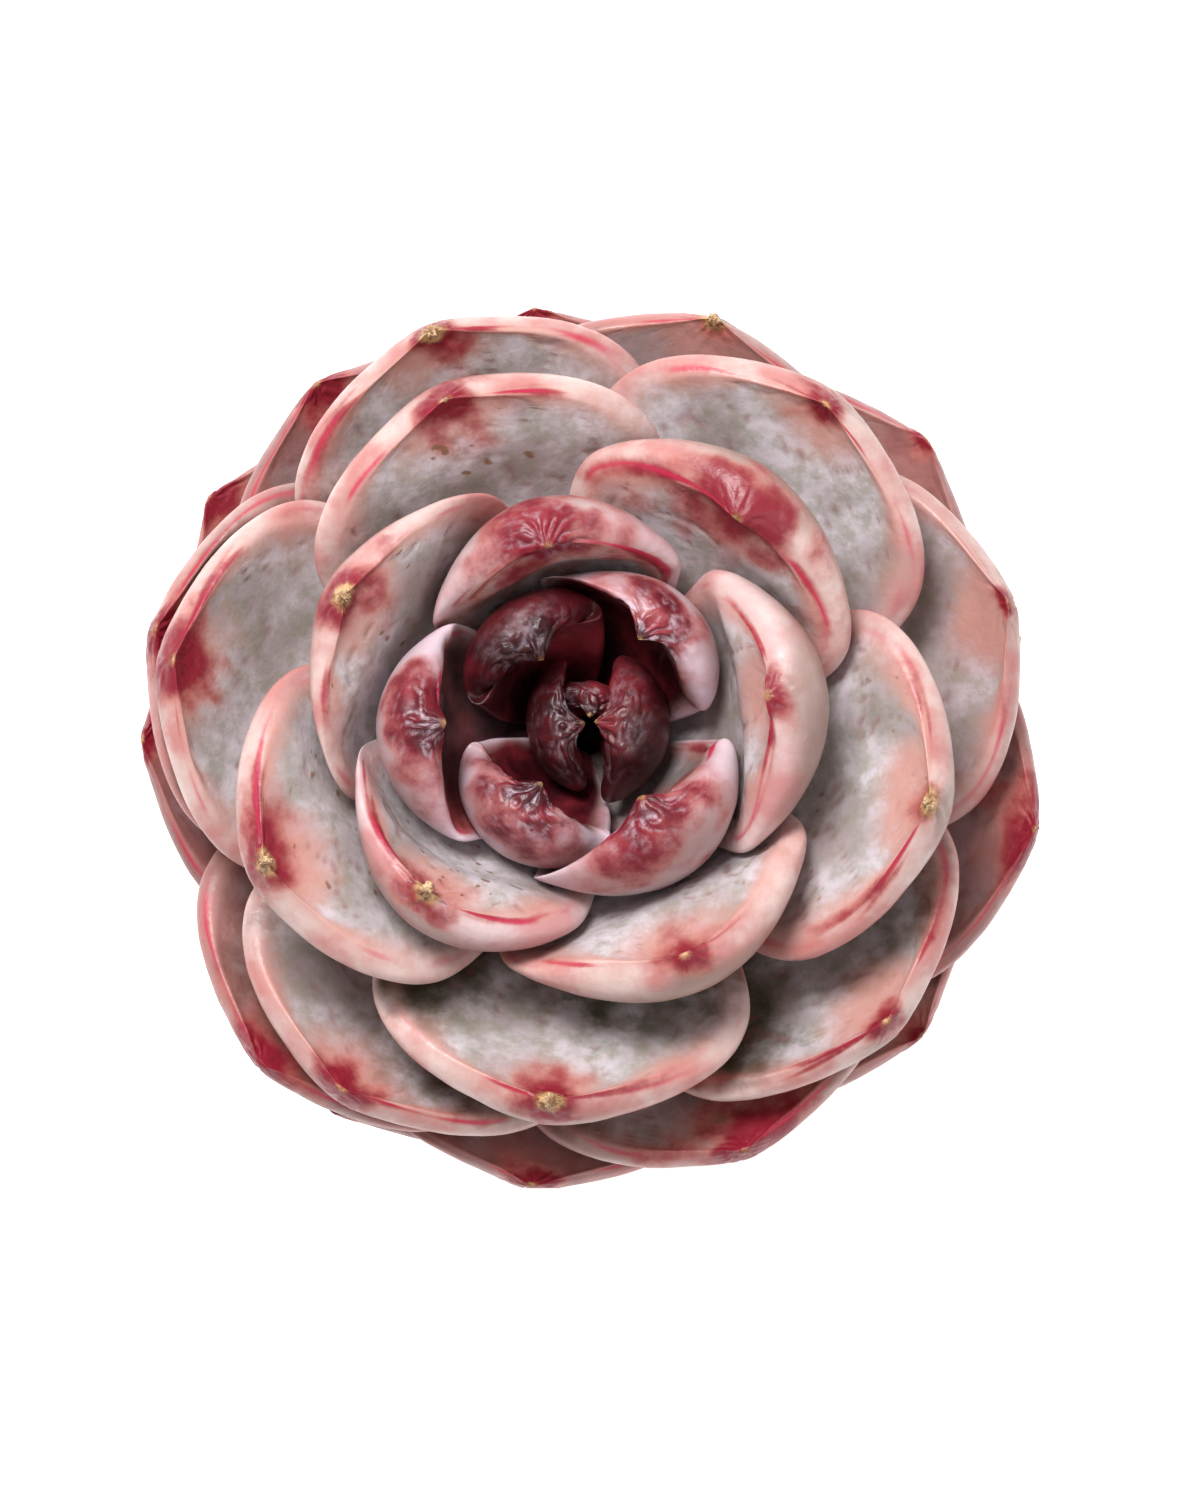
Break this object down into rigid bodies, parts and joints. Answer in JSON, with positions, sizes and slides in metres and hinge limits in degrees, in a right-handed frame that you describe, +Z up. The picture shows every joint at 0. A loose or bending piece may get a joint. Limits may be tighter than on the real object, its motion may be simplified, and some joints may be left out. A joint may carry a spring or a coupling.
{
  "type": "potted succulent",
  "caption": "Rosette-forming echeveria with thick incurved blushed leaves, rooted in gritty mix in a plain round clay pot with a drain hole.",
  "frame": {"origin": "centre of the pot's underside, on the surface it stands on", "axes": "+Z up along the pot's axis and the stem; each leaf stands about 138.5 degrees anticlockwise, seen from above, from the next younger one; -Y is the front"},
  "size_m": [0.1065, 0.1059, 0.1132],
  "materials": {
    "terracotta": "matte",
    "potting_mix": "matte",
    "bark": "matte",
    "heart_leaf": "satin",
    "leaf": "satin"
  },
  "bodies": {
    "root": {"pot": "terracotta", "potting_mix": "potting_mix", "rooted_stem": "bark", "leaf_01": "heart_leaf", "leaf_02": "heart_leaf", "leaf_03": "heart_leaf", "leaf_04": "heart_leaf", "leaf_05": "heart_leaf", "leaf_06": "heart_leaf", "leaf_07": "heart_leaf", "leaf_08": "heart_leaf", "leaf_09": "heart_leaf", "leaf_10": "leaf", "leaf_11": "leaf", "leaf_12": "leaf", "leaf_13": "leaf", "leaf_14": "leaf", "leaf_15": "leaf", "leaf_16": "leaf", "leaf_17": "leaf", "leaf_18": "leaf", "leaf_19": "leaf", "leaf_20": "leaf", "leaf_21": "leaf", "leaf_22": "leaf", "leaf_23": "leaf", "leaf_24": "leaf", "leaf_25": "leaf", "leaf_26": "leaf", "leaf_27": "leaf", "leaf_28": "leaf", "leaf_29": "leaf", "leaf_30": "leaf", "leaf_31": "leaf", "leaf_32": "leaf", "leaf_33": "leaf", "leaf_34": "leaf", "leaf_35": "leaf", "leaf_36": "leaf", "leaf_37": "leaf", "leaf_38": "leaf"}
  },
  "joints": []
}
